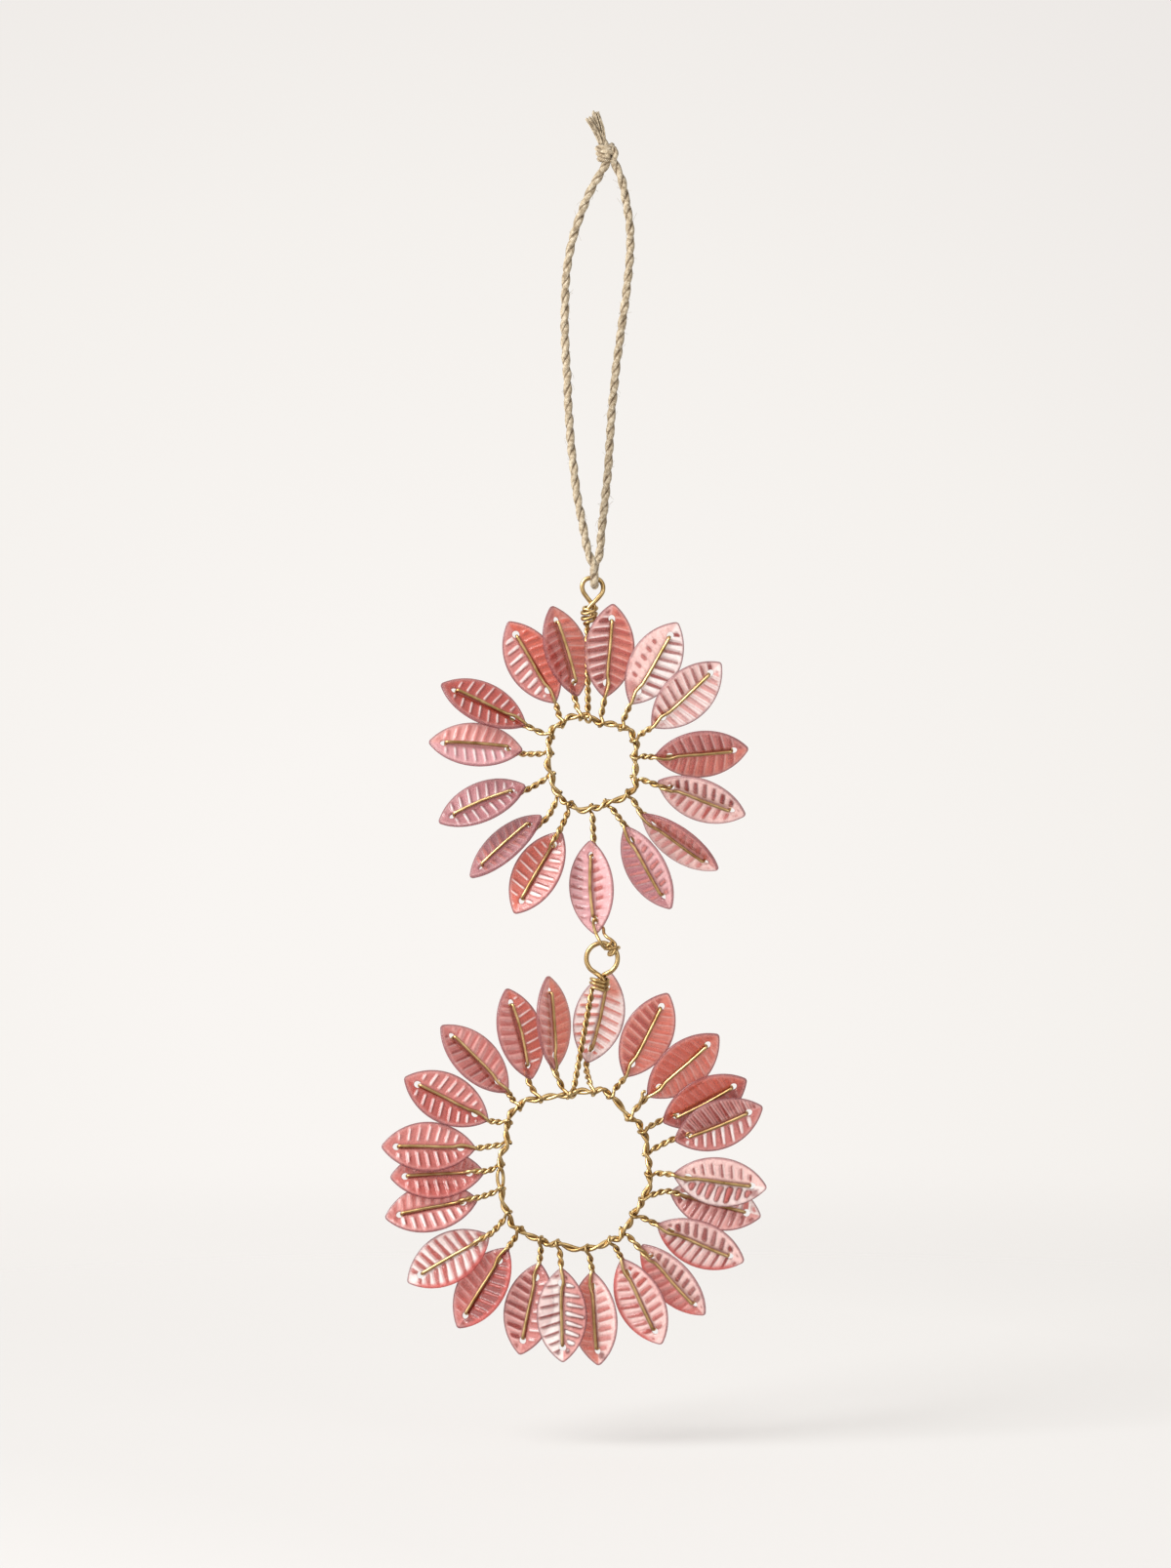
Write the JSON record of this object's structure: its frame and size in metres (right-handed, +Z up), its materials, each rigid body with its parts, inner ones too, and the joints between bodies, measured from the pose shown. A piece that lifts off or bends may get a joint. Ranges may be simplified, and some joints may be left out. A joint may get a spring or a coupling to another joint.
{
  "type": "beaded hoop ornament",
  "caption": "Hanging ornament: ribbed leaf beads wired around twisted brass hoops, an upper wreath linked to a larger lower wreath, on a knotted twine loop.",
  "frame": {"origin": "hang point, in the crotch of the twine loop just under its knot", "axes": "+Z up along the hanging ornament, front towards -Y, +X to the right seen from the front"},
  "size_m": [0.0791, 0.0099, 0.257],
  "materials": {
    "twine": "rough hemp twine",
    "brass_wire": "bright drawn wire",
    "rose_leaf": "pearly translucent dusty rose, ribbed",
    "coral_leaf": "pearly translucent coral, ribbed",
    "striped_leaf": "pearly translucent pale pink with brick-red veins, ribbed"
  },
  "bodies": {
    "cord": {"hanging_cord": "twine", "cord_knot": "twine", "cord_tails": "twine"},
    "upper_wreath": {"upper_eye": "brass_wire", "upper_hanger_wire": "brass_wire", "upper_hoop": "brass_wire", "upper_leaf_wires": "brass_wire", "upper_leaf_01": "coral_leaf", "upper_leaf_02": "coral_leaf", "upper_leaf_03": "coral_leaf", "upper_leaf_04": "striped_leaf", "upper_leaf_05": "striped_leaf", "upper_leaf_06": "rose_leaf", "upper_leaf_07": "striped_leaf", "upper_leaf_08": "rose_leaf", "upper_leaf_09": "rose_leaf", "upper_leaf_10": "striped_leaf", "upper_leaf_11": "coral_leaf", "upper_leaf_12": "rose_leaf", "upper_leaf_13": "striped_leaf", "upper_leaf_14": "rose_leaf", "upper_leaf_15": "rose_leaf"},
    "link": {"link_wire": "brass_wire"},
    "lower_wreath": {"lower_ring": "brass_wire", "lower_hanger_wire": "brass_wire", "lower_hoop": "brass_wire", "lower_leaf_wires": "brass_wire", "lower_leaf_01": "rose_leaf", "lower_leaf_02": "striped_leaf", "lower_leaf_03": "coral_leaf", "lower_leaf_04": "coral_leaf", "lower_leaf_05": "coral_leaf", "lower_leaf_06": "striped_leaf", "lower_leaf_07": "striped_leaf", "lower_leaf_08": "striped_leaf", "lower_leaf_09": "striped_leaf", "lower_leaf_10": "rose_leaf", "lower_leaf_11": "striped_leaf", "lower_leaf_12": "striped_leaf", "lower_leaf_13": "striped_leaf", "lower_leaf_14": "rose_leaf", "lower_leaf_15": "rose_leaf", "lower_leaf_16": "striped_leaf", "lower_leaf_17": "striped_leaf", "lower_leaf_18": "rose_leaf", "lower_leaf_19": "rose_leaf", "lower_leaf_20": "rose_leaf", "lower_leaf_21": "rose_leaf", "lower_leaf_22": "rose_leaf"}
  },
  "joints": [
    {"name": "upper_wreath_swing", "type": "hinge", "parent": "cord", "child": "upper_wreath", "pos_m": [-0.0038, 0, -0.0849], "axis": [1, 0, 0], "range_deg": [-60, 60]},
    {"name": "link_sway", "type": "hinge", "parent": "upper_wreath", "child": "link", "pos_m": [-0.00331, 0, -0.15489], "axis": [-0.4993, -0.866, -0.0262], "range_deg": [-20, 20]},
    {"name": "lower_wreath_swing", "type": "hinge", "parent": "link", "child": "lower_wreath", "pos_m": [-0.00007, 0, -0.16049], "axis": [0.809, 0, -0.5878], "range_deg": [-60, 60]}
  ]
}
